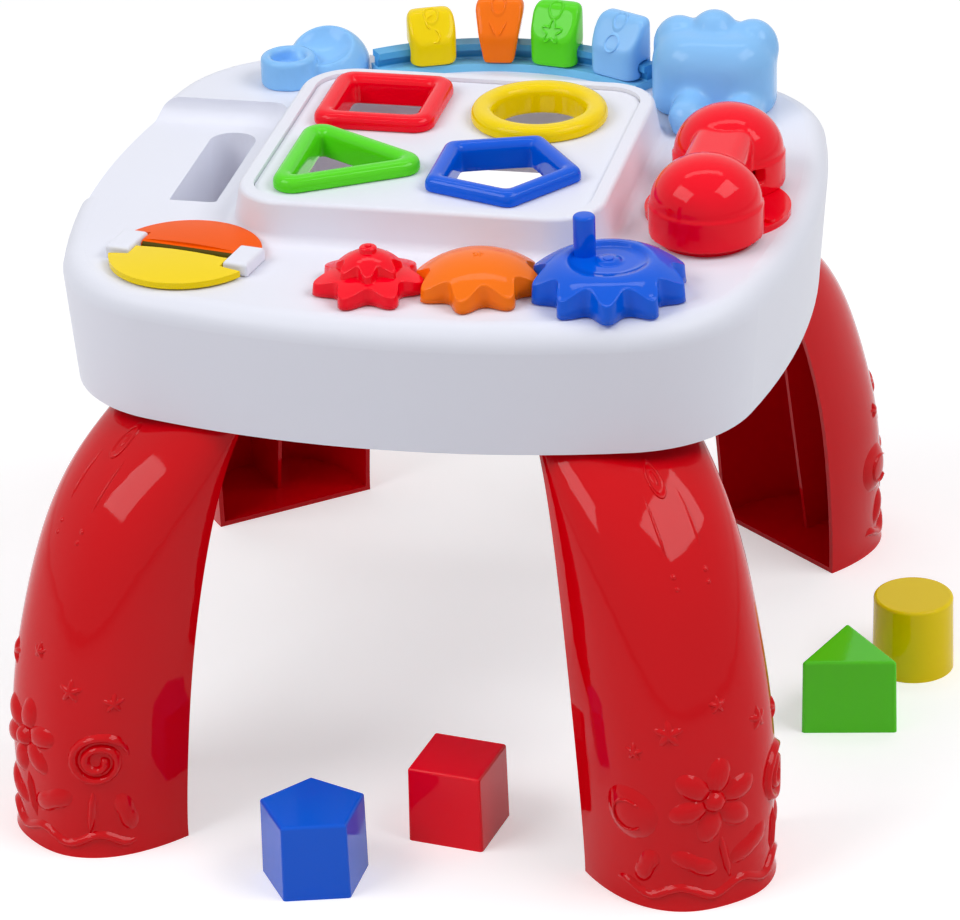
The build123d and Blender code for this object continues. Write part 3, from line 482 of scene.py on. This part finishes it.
def rounded_post(shape, axis, radius, top, foot, ease, count=40, turns=6):
    """A round post with an eased top edge."""
    profile = []
    for k in range(turns + 1):
        turn = k * math.pi / 2 / turns
        profile.append((radius - ease + ease * math.sin(turn), top - ease + ease * math.cos(turn)))
    profile.append((radius, foot))
    rows = []
    for reach, height in profile:
        spots = [Vector((reach * math.cos(a), reach * math.sin(a), height)) for a in around(count)]
        rows.append([shape.verts.new(axis + spot * MM) for spot in spots])
    crown = shape.verts.new(axis + UP * (top * MM))
    for k in range(count):
        n = (k + 1) % count
        shape.faces.new((crown, rows[0][k], rows[0][n]))
        for upper, lower in zip(rows, rows[1:]):
            shape.faces.new((upper[k], lower[k], lower[n], upper[n]))


def red_dome(radius):
    return RED_TOP - RED_FALL * (radius / RED_TIP) ** RED_CURVE


def red_crown(radius):
    return RED_CROWN_TOP - RED_CROWN_FALL * (radius / RED_CROWN_TIP) ** RED_CROWN_CURVE


def red_gear():
    """The small gear: a toothed dome with a second, smaller one and a knob on top."""
    axis = gear_axis("gear_small_red", "small_gear_turn")
    phase = tooth_phase("gear_small_red", axis, RED_TEETH)
    half_tooth = math.pi / RED_TEETH
    shape = bmesh.new()
    gear_form(shape, axis, phase, RED_TEETH, RED_ROOT, RED_TIP, RED_RINGS, red_dome)
    gear_form(shape, axis, phase + half_tooth, RED_TEETH, RED_CROWN_ROOT, RED_CROWN_TIP, RED_CROWN_RINGS,
              red_crown, RED_CROWN_FOOT)
    rounded_post(shape, axis, **RED_KNOB)
    rounded_post(shape, axis, **RED_PIP)
    return add_piece("red_gear_moulding", shape, TOY_RED, "small_gear")


def orange_dome(radius):
    return ORANGE_TOP - ORANGE_FALL * (radius / ORANGE_TIP) ** ORANGE_CURVE


def orange_gear():
    """The middle gear: one plain toothed dome."""
    axis = gear_axis("gear_medium_orange", "medium_gear_turn")
    phase = tooth_phase("gear_medium_orange", axis, ORANGE_TEETH)
    shape = bmesh.new()
    gear_form(shape, axis, phase, ORANGE_TEETH, ORANGE_ROOT, ORANGE_TIP, ORANGE_RINGS, orange_dome)
    return add_piece("orange_gear_moulding", shape, TOY_ORANGE, "medium_gear")


def blue_dome(radius):
    """The blue gear's crown: a hub, a shallow dish round it and a falling shoulder."""
    fall = BLUE_FALL * (max(radius - BLUE_SHOULDER, 0.0) / (BLUE_RIM - BLUE_SHOULDER)) ** BLUE_CURVE
    dish = BLUE_DISH_DEPTH if BLUE_HUB < radius < BLUE_DISH else 0.0
    return BLUE_TOP - fall - dish


def blue_gear():
    """The large gear: a toothed dome with a dished top, a pip and a crank peg."""
    axis = gear_axis("gear_large_blue", "large_gear_turn")
    phase = tooth_phase("gear_large_blue", axis, BLUE_TEETH)
    shape = bmesh.new()
    gear_form(shape, axis, phase, BLUE_TEETH, BLUE_ROOT, BLUE_TIP, BLUE_RINGS, blue_dome)
    peg_foot = axis.z + BLUE_PEG_FROM * MM
    high = [v.co for v in nodes["gear_large_blue"].data.vertices if v.co.z > peg_foot]
    peg = sum(high, Vector()) / len(high)
    rounded_post(shape, Vector((peg.x, peg.y, axis.z)), **BLUE_PEG)
    rounded_post(shape, axis, **BLUE_PIP)
    return add_piece("blue_gear_moulding", shape, TOY_BLUE, "large_gear")


RED_GEAR = red_gear()
ORANGE_GEAR = orange_gear()
BLUE_GEAR = blue_gear()
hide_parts("gear_small_red")
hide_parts("gear_medium_orange")
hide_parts("gear_large_blue")

# how much fuller the animal is than its solid, and how far it is smoothed
ANIMAL_FULLNESS = (1.05, 1.05, 1.2)
ANIMAL_VOXEL = 1.2
ANIMAL_PASSES = 40


def animal_moulding():
    """The end stop's plain seated animal as one flowing lump, a little fuller than its solid."""
    low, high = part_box("animal_end_stop")
    pivot = Vector(((low.x + high.x) / 2, (low.y + high.y) / 2, low.z))
    mesh = nodes["animal_end_stop"].data.copy()
    fuller = Matrix.Diagonal((*ANIMAL_FULLNESS, 1.0))
    mesh.transform(Matrix.Translation(pivot) @ fuller @ Matrix.Translation(-pivot))
    piece = bpy.data.objects.new("animal_moulding", mesh)
    scene.collection.objects.link(piece)
    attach(piece, "table")
    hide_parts("animal_end_stop")
    soften(piece, ANIMAL_VOXEL, ANIMAL_PASSES)


animal_moulding()

# a painted shadow: a dark olive strip curved round the orange page's barrel, standing in for the shade in
# the gap between the two pages
SHADOW_STRIP_RADIUS = 3.55
SHADOW_STRIP_FROM = -40.0
SHADOW_STRIP_TO = 56.0
SHADOW_STRIP_HALF = 27.5
SHADOW_STRIP_STEPS = 8


def painted_gap_shadow():
    joint = joint_named("orange_page_flip")
    middle, along = Vector(joint["pos_m"]), Vector(joint["axis"])
    front = along.cross(UP)
    shape = bmesh.new()
    rows = []
    for k in range(SHADOW_STRIP_STEPS + 1):
        turn = math.radians(SHADOW_STRIP_FROM + (SHADOW_STRIP_TO - SHADOW_STRIP_FROM) * k / SHADOW_STRIP_STEPS)
        spot = middle + (front * math.cos(turn) + UP * math.sin(turn)) * (SHADOW_STRIP_RADIUS * MM)
        rows.append([shape.verts.new(spot + along * (end * SHADOW_STRIP_HALF * MM)) for end in (-1, 1)])
    for low, high in zip(rows, rows[1:]):
        shape.faces.new((low[0], low[1], high[1], high[0]))
    # the strip carries painted shadow and rides on the orange page, so it turns under when the page flips
    add_piece("page_gap_painted_shadow", shape, OLIVE_PAINTED_SHADE, "orange_page")


painted_gap_shadow()

# moulded marks, laid over the CAD surface; places and sizes are in millimetres on that surface
MARK_SINK = 0.5
MOUND_FULLNESS = 2.6
RIDGE_TAPER = 3
RIDGE_TIP_SHARE = 0.3
LEG_BEND = 58.0
# the leg's middle line: height above the floor, and how far out of the foot's middle it lies
LEG_CORE = ((0, 8), (60, 5), (120, -3), (180, -19), (215, -34), (243, -54), (262, -72))
# where surface-finding rays start, in metres: off a leg's core, over the part, off a slider's middle
LEG_CAST = 0.2
TOP_CAST = 0.05
FRONT_CAST = 0.1


def cast_on(piece):
    return BVHTree.FromObject(piece, bpy.context.evaluated_depsgraph_get())


def leg_surface(name):
    """The leg's outer face: u runs round the leg, v up it."""
    side, end = LEG_SIDES[name]
    turn = math.radians(LEG_TURN)
    outward = Vector((side * math.cos(turn), end * math.sin(turn), 0))
    across = UP.cross(outward)
    foot = Vector((TABLE_X + side * LEG_X, TABLE_Y + end * LEG_Y, 0))
    tree = cast_on(nodes["leg_" + name])

    def core(v):
        for (low, near), (high, far) in zip(LEG_CORE, LEG_CORE[1:]):
            if v <= high:
                return near + (far - near) * (v - low) / (high - low)
        return LEG_CORE[-1][1]

    def surface(u, v):
        out = outward * math.cos(u / LEG_BEND) + across * math.sin(u / LEG_BEND)
        start = foot + outward * (core(v) * MM) + UP * (v * MM) + out * LEG_CAST
        return tree.ray_cast(start, -out)[0], out
    return surface


def top_surface(piece, x, y):
    """A piece's upper face round a spot given in metres."""
    tree = cast_on(piece)
    top = cad_box[1].z + TOP_CAST

    def surface(u, v):
        return tree.ray_cast(Vector((x + u * MM, y + v * MM, top)), -UP)[0], UP
    return surface


def slider_frame(name):
    """A slider's lowest corner, its middle, and the way from it to the rail's centre."""
    low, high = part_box(name)
    middle = (low + high) / 2
    inward = Vector((TABLE_X + RAIL_X - middle.x, TABLE_Y + RAIL_Y - middle.y, 0)).normalized()
    return low, middle, inward


def front_surface(name):
    """A slider's face that looks at the middle of the table: u to the right, v up from its foot."""
    tree = cast_on(nodes[name])
    low, middle, inward = slider_frame(name)
    across = UP.cross(inward)

    def surface(u, v):
        start = Vector((middle.x, middle.y, low.z + v * MM)) + inward * FRONT_CAST + across * (u * MM)
        return tree.ray_cast(start, -inward)[0], inward
    return surface


def mound(shape, surface, u, v, reach, height, rings=5, spokes=28):
    """A soft-edged lump whose outline is given by reach(angle)."""
    def lift(share, angle):
        radius = share * reach(angle)
        point, out = surface(u + radius * math.cos(angle), v + radius * math.sin(angle))
        rise = (height + MARK_SINK) * (1 - share ** MOUND_FULLNESS) - MARK_SINK
        return shape.verts.new(point + out * (rise * MM))
    middle = lift(0, 0)
    rows = [[lift((k + 1) / rings, a) for a in around(spokes)] for k in range(rings)]
    for i in range(spokes):
        j = (i + 1) % spokes
        shape.faces.new((middle, rows[0][i], rows[0][j]))
        for inner, outer in zip(rows, rows[1:]):
            shape.faces.new((inner[i], outer[i], outer[j], inner[j]))


def ridge(shape, surface, path, width, height, closed=False, steps=6):
    """A rounded bead along a path of places, tapered at both ends unless it is closed."""
    count = len(path)
    rows = []
    for k, (u, v) in enumerate(path):
        before = path[(k - 1) % count] if closed else path[max(k - 1, 0)]
        after = path[(k + 1) % count] if closed else path[min(k + 1, count - 1)]
        along = Vector((after[0] - before[0], after[1] - before[1])).normalized()
        share = 1.0 if closed else min(1.0, k / RIDGE_TAPER, (count - 1 - k) / RIDGE_TAPER)
        half = width / 2 * (RIDGE_TIP_SHARE + (1 - RIDGE_TIP_SHARE) * share)
        row = []
        for s in range(steps + 1):
            offset = (2 * s / steps - 1) * half
            point, out = surface(u - along.y * offset, v + along.x * offset)
            rise = (height + MARK_SINK) * share * math.sin(math.pi * s / steps) - MARK_SINK
            row.append(shape.verts.new(point + out * (rise * MM)))
        rows.append(row)
    pairs = list(zip(rows, rows[1:])) + ([(rows[-1], rows[0])] if closed else [])
    for low, high in pairs:
        for s in range(steps):
            shape.faces.new((low[s], high[s], high[s + 1], low[s + 1]))


# outlines of mounds, as a reach for each bearing, and paths of ridges
STAR_POINTS = 5
STAR_SHARPNESS = 2.2
LEAF_PINCH = 0.16


def oval(long, wide, turn=0.0):
    return lambda a: long * wide / math.hypot(wide * math.cos(a - turn), long * math.sin(a - turn))


def star(outer, inner, turn=math.pi / 2):
    return lambda a: inner + (outer - inner) * abs(math.cos(STAR_POINTS * (a - turn) / 2)) ** STAR_SHARPNESS


def leaf(long, wide, turn):
    return lambda a: oval(long, wide, turn)(a) * (1 - LEAF_PINCH + LEAF_PINCH * math.cos(2 * (a - turn)))


def ring_path(u, v, radius, count=24):
    return [(u + radius * math.cos(a), v + radius * math.sin(a)) for a in around(count)]


def arc_path(u, v, radius, start, end, count=16):
    turns = [math.radians(start + (end - start) * k / (count - 1)) for k in range(count)]
    return [(u + radius * math.cos(a), v + radius * math.sin(a)) for a in turns]


def line_path(u0, v0, u1, v1, count=12):
    return [(u0 + (u1 - u0) * k / (count - 1), v0 + (v1 - v0) * k / (count - 1)) for k in range(count)]


def swirl_path(u, v, radius, turns, tightening=0.86, count=44):
    points = []
    for k in range(count):
        share = k / (count - 1)
        angle = 2 * math.pi * turns * share
        reach = radius * (1 - tightening * share)
        points.append((u + reach * math.cos(angle), v + reach * math.sin(angle)))
    return points


def wave_path(u0, u1, v, swing, length, count=48):
    steps = [u0 + (u1 - u0) * k / (count - 1) for k in range(count)]
    return [(u, v + swing * math.sin(2 * math.pi * u / length)) for u in steps]


def star_path(v, reach, count=60):
    return [(reach(a) * math.cos(a), v + reach(a) * math.sin(a)) for a in around(count)]


def add_mark(name, body, finish, draw):
    """One object of moulded marks: draw puts them in the mesh."""
    shape = bmesh.new()
    draw(shape)
    add_piece(name, shape, finish, body)


# the garden on each leg: u is the place round the leg from its middle, v the height above the floor
FLOWER = {"u": -6, "v": 66, "petals": 6, "spread": 15, "size": 11, "height": 3.0}
PETAL_TURN = 0.3
PETAL_WIDTH_SHARE = 0.66
FLOWER_EYE_SHARE = 0.6
FLOWER_EYE_RISE = 1.4
STEM_WIDTH = 5
STEM_HEIGHT = 2.4
FLOWER_STEM = (-4, 46, 2, 15)
SWIRL_STEM = (40, 44, 37, 14)
# leaves: u, v, half length, half width, turn in radians, height
LEAVES = (
    (15, 33, 16, 9, 0.5, 2.8),
    (-18, 29, 15, 8, 2.6, 2.8),
    (-44, 26, 13, 8, 1.1, 2.6),
    (58, 28, 14, 8, 1.9, 2.6),
)
SWIRL = {"u": 43, "v": 62, "radius": 17, "turns": 2.2}
SWIRL_WIDTH = 6
SWIRL_HEIGHT = 3.2
BALL_PLACE = (-52, 58)
BALL_RADIUS = 17
BALL_HEIGHT = 4.0
BALL_RINGS = 7
BALL_SEAM = {"radius": 9, "start": 20, "end": 340, "count": 30}
BALL_SEAM_WIDTH = 3
BALL_SEAM_HEIGHT = 4.6
GRASS = {"u0": -66, "u1": 66, "v": 11, "swing": 3.0, "length": 34}
GRASS_WIDTH = 6
GRASS_HEIGHT = 2.6
# stars: u, v, outer radius
LEG_STARS = ((26, 104, 8), (-27, 108, 9), (1, 120, 6), (-46, 96, 6), (50, 98, 7))
LEG_STAR_TURN = 1.57
LEG_STAR_INNER_SHARE = 0.45
LEG_STAR_HEIGHT = 1.8
# the boss and slim ribs near the top of the leg
BOSS_PLACE = (0, 229)
BOSS_RADIUS = 6.5
BOSS_WIDTH = 3
BOSS_RISE = 1.6
BOSS_PIP = 3.4
BOSS_PIP_RISE = 1.2
TOP_RIB = (16, 226, 12, 196)
TOP_RIB_WIDTH = 3
TOP_RIB_RISE = 1.3
# drops below each rib: u, v, half length, half width
TOP_DROPS = ((11, 189, 2.2, 1.7), (10.4, 183, 2.0, 1.6))
TOP_DROP_RISE = 1.0


def flower(shape, surface, u, v, petals, spread, size, height):
    for bearing in around(petals):
        angle = bearing + PETAL_TURN
        place = (u + spread * math.cos(angle), v + spread * math.sin(angle))
        mound(shape, surface, *place, oval(size, size * PETAL_WIDTH_SHARE, angle), height)
    eye = size * FLOWER_EYE_SHARE
    mound(shape, surface, u, v, oval(eye, eye), height + FLOWER_EYE_RISE)


def garden(shape, surface):
    """A flower, leaves, a swirl, a ball, grass and stars low down on the leg."""
    flower(shape, surface, **FLOWER)
    for stem in (FLOWER_STEM, SWIRL_STEM):
        ridge(shape, surface, line_path(*stem), STEM_WIDTH, STEM_HEIGHT)
    for u, v, long, wide, turn, height in LEAVES:
        mound(shape, surface, u, v, leaf(long, wide, turn), height)
    ridge(shape, surface, swirl_path(**SWIRL), SWIRL_WIDTH, SWIRL_HEIGHT)
    mound(shape, surface, *BALL_PLACE, oval(BALL_RADIUS, BALL_RADIUS), BALL_HEIGHT, rings=BALL_RINGS)
    ridge(shape, surface, arc_path(*BALL_PLACE, **BALL_SEAM), BALL_SEAM_WIDTH, BALL_SEAM_HEIGHT)
    ridge(shape, surface, wave_path(**GRASS), GRASS_WIDTH, GRASS_HEIGHT)
    for u, v, size in LEG_STARS:
        outline = star(size, size * LEG_STAR_INNER_SHARE, LEG_STAR_TURN)
        mound(shape, surface, u, v, outline, LEG_STAR_HEIGHT)


def boss_and_ribs(shape, surface):
    """A ringed boss between two slim ribs near the top of the leg."""
    ridge(shape, surface, ring_path(*BOSS_PLACE, BOSS_RADIUS), BOSS_WIDTH, BOSS_RISE, closed=True)
    mound(shape, surface, *BOSS_PLACE, oval(BOSS_PIP, BOSS_PIP), BOSS_PIP_RISE)
    for side in (-1, 1):
        u0, v0, u1, v1 = TOP_RIB
        ridge(shape, surface, line_path(side * u0, v0, side * u1, v1), TOP_RIB_WIDTH, TOP_RIB_RISE)
        for u, v, long, wide in TOP_DROPS:
            mound(shape, surface, side * u, v, oval(long, wide), TOP_DROP_RISE)


def leg_relief(name):
    surface = leg_surface(name)

    def draw(shape):
        garden(shape, surface)
        boss_and_ribs(shape, surface)
    add_mark("leg_relief_" + name, "table", LEG_RED, draw)


for leg in LEG_SIDES:
    leg_relief(leg)

# the sliders' marks: a ring on the crest and a sign on the front
CREST_RING_RADIUS = 4.2
CREST_RING_WIDTH = 2.2
CREST_RING_RISE = 1.1
SIGN_WIDTH = 1.8
SIGN_RISE = 1.1
CURL_RADIUS = 3.4
CURL_LOW = 19
CURL_LOW_SWEEP = (-120, 90)
CURL_HIGH = 25.8
CURL_HIGH_SWEEP = (60, 270)
CHEVRON_HALF = 6
CHEVRON_TOP = 27
CHEVRON_FOOT = 17
SIGN_MIDDLE = 22
STAR_OUTER = 6.4
STAR_INNER = 3
STAR_WIDTH = 1.6
RING_RADIUS = 4.6


def curl(shape, front):
    ridge(shape, front, arc_path(0, CURL_LOW, CURL_RADIUS, *CURL_LOW_SWEEP), SIGN_WIDTH, SIGN_RISE)
    ridge(shape, front, arc_path(0, CURL_HIGH, CURL_RADIUS, *CURL_HIGH_SWEEP), SIGN_WIDTH, SIGN_RISE)


def chevron(shape, front):
    for side in (-1, 1):
        path = line_path(side * CHEVRON_HALF, CHEVRON_TOP, 0, CHEVRON_FOOT)
        ridge(shape, front, path, SIGN_WIDTH, SIGN_RISE)


def outline_star(shape, front):
    path = star_path(SIGN_MIDDLE, star(STAR_OUTER, STAR_INNER))
    ridge(shape, front, path, STAR_WIDTH, SIGN_RISE, closed=True)


def round_mark(shape, front):
    ridge(shape, front, ring_path(0, SIGN_MIDDLE, RING_RADIUS), SIGN_WIDTH, SIGN_RISE, closed=True)


def slider_marks(name, body, finish, sign):
    """A small ring on the slider's crest and a simple raised sign on its front."""
    middle = slider_frame(name)[1]
    crest = top_surface(nodes[name], middle.x, middle.y)
    front = front_surface(name)

    def draw(shape):
        ring = ring_path(0, 0, CREST_RING_RADIUS)
        ridge(shape, crest, ring, CREST_RING_WIDTH, CREST_RING_RISE, closed=True)
        sign(shape, front)
    add_mark(name + "_marks", body, finish, draw)


slider_marks("slider_yellow", "yellow_slider", TOY_YELLOW, curl)
slider_marks("slider_orange", "orange_slider", TOY_ORANGE, chevron)
slider_marks("slider_green", "green_slider", TOY_GREEN, outline_star)
slider_marks("slider_light_blue", "light_blue_slider", SKY_BLUE, round_mark)

GEAR_STAR_OUTER = 4.4
GEAR_STAR_INNER = 2.1
GEAR_STAR_RISE = 1.0


def orange_gear_star():
    axis = gear_axis("gear_medium_orange", "medium_gear_turn")
    surface = top_surface(ORANGE_GEAR, axis.x, axis.y)
    outline = star(GEAR_STAR_OUTER, GEAR_STAR_INNER)
    add_mark("orange_gear_star", "medium_gear", TOY_ORANGE,
             lambda shape: mound(shape, surface, 0, 0, outline, GEAR_STAR_RISE))


orange_gear_star()


# camera, lamps, sky and floor
def looking_back(bearing, rise):
    """The way from the table to an eye or a lamp, from its bearing and rise in degrees."""
    a, e = math.radians(bearing), math.radians(rise)
    return Vector((math.sin(a) * math.cos(e), -math.cos(a) * math.cos(e), math.sin(e)))


def add_camera():
    back = looking_back(CAMERA_BEARING, CAMERA_RISE)
    level = (-back).cross(UP).normalized()
    upright = level.cross(-back)
    roll = math.radians(CAMERA_ROLL)
    right = level * math.cos(roll) + upright * math.sin(roll)
    up = upright * math.cos(roll) - level * math.sin(roll)
    data = bpy.data.cameras.new("camera")
    data.sensor_width = SENSOR
    data.lens = FOCAL_PIXELS * SENSOR / PHOTO_WIDTH
    data.clip_end = CAMERA_REACH
    camera = bpy.data.objects.new("camera", data)
    scene.collection.objects.link(camera)
    place = Vector(CAMERA_TARGET) + back * CAMERA_DISTANCE
    camera.matrix_world = Matrix((
        (right.x, up.x, back.x, place.x),
        (right.y, up.y, back.y, place.y),
        (right.z, up.z, back.z, place.z),
        (0, 0, 0, 1),
    ))
    scene.camera = camera


# lamps: bearing and rise in degrees, distance, width and height in metres, power in watts
SOFTBOXES = {
    "softbox_left": (-52, 44, 3.0, 2.0, 1.3, 39.0),
    "softbox_right": (80, 50, 3.0, 2.0, 1.3, 39.0),
    "bank_overhead": (193, 74, 2.6, 2.4, 0.4, 10.0),
}
LAMP_AIM = Vector((0, 0, 0.2))
SKY_LIGHT = 0.29
WHITE = (1, 1, 1, 1)
FLOOR_SIZE = 8.0
FLOOR_PAPER = (0.8, 0.8, 0.81, 1)
FLOOR_ROUGHNESS = 0.9
FLOOR_GLOW = 0.4


def add_softbox(name, bearing, rise, distance, width, height, power):
    data = bpy.data.lights.new(name, "AREA")
    data.shape = "RECTANGLE"
    data.size = width
    data.size_y = height
    data.energy = power
    lamp = bpy.data.objects.new(name, data)
    scene.collection.objects.link(lamp)
    back = looking_back(bearing, rise)
    lamp.location = LAMP_AIM + back * distance
    lamp.rotation_euler = (-back).to_track_quat("-Z", "Y").to_euler()


def seen_by_eye(tree):
    """One for what the camera, mirrors and glass see, zero for what lights the object."""
    path = tree.nodes.new("ShaderNodeLightPath")
    mirrored = tree.nodes.new("ShaderNodeMath")
    mirrored.operation = "MAXIMUM"
    tree.links.new(path.outputs["Is Glossy Ray"], mirrored.inputs[0])
    tree.links.new(path.outputs["Is Transmission Ray"], mirrored.inputs[1])
    seen = tree.nodes.new("ShaderNodeMath")
    seen.operation = "MAXIMUM"
    tree.links.new(path.outputs["Is Camera Ray"], seen.inputs[0])
    tree.links.new(mirrored.outputs["Value"], seen.inputs[1])
    return seen.outputs["Value"]


def add_world():
    """A white studio to the eye, dimmer where it lights the object."""
    world = bpy.data.worlds.new("studio")
    scene.world = world
    world.use_nodes = True
    tree = world.node_tree
    dim = tree.nodes["Background"]
    dim.inputs["Color"].default_value = WHITE
    dim.inputs["Strength"].default_value = SKY_LIGHT
    bright = tree.nodes.new("ShaderNodeBackground")
    bright.inputs["Color"].default_value = WHITE
    mix = tree.nodes.new("ShaderNodeMixShader")
    tree.links.new(seen_by_eye(tree), mix.inputs["Fac"])
    tree.links.new(dim.outputs["Background"], mix.inputs[1])
    tree.links.new(bright.outputs["Background"], mix.inputs[2])
    tree.links.new(mix.outputs["Shader"], tree.nodes["World Output"].inputs["Surface"])


def add_floor():
    """A plain pale paper floor that keeps the object's shadow."""
    mesh = bpy.data.meshes.new("floor")
    shape = bmesh.new()
    bmesh.ops.create_grid(shape, x_segments=1, y_segments=1, size=FLOOR_SIZE)
    shape.to_mesh(mesh)
    shape.free()
    floor = bpy.data.objects.new("floor", mesh)
    scene.collection.objects.link(floor)
    paper = bpy.data.materials.new("floor_paper")
    paper.use_nodes = True
    tree = paper.node_tree
    shader = tree.nodes["Principled BSDF"]
    shader.inputs["Base Color"].default_value = FLOOR_PAPER
    shader.inputs["Roughness"].default_value = FLOOR_ROUGHNESS
    shader.inputs["Specular IOR Level"].default_value = 0.0
    shader.inputs["Emission Color"].default_value = WHITE
    glow = tree.nodes.new("ShaderNodeMath")
    glow.operation = "MULTIPLY"
    glow.inputs[1].default_value = FLOOR_GLOW
    tree.links.new(seen_by_eye(tree), glow.inputs[0])
    tree.links.new(glow.outputs["Value"], shader.inputs["Emission Strength"])
    mesh.materials.append(paper)


add_camera()
add_world()
add_floor()
for name, setting in SOFTBOXES.items():
    add_softbox(name, *setting)
scene.view_settings.view_transform = "Standard"
